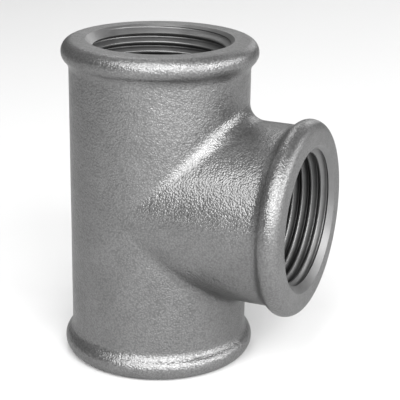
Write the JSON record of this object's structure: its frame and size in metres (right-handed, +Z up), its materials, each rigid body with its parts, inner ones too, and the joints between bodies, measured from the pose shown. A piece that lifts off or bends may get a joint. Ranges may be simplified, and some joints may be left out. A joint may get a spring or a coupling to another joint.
{
  "type": "pipe tee",
  "caption": "Beaded malleable iron tee with a straight run, a side branch and an internally threaded socket in each mouth.",
  "frame": {"origin": "centre of the run's lower end face, on which the tee stands", "axes": "+Z up along the axis of the run, +X along the axis of the branch, out of its mouth"},
  "size_m": [0.0608, 0.0456, 0.076],
  "materials": {
    "iron": "as cast with a fine sand grain, machined smooth in the mouths"
  },
  "bodies": {
    "root": {"tee_body": "iron"}
  },
  "joints": []
}
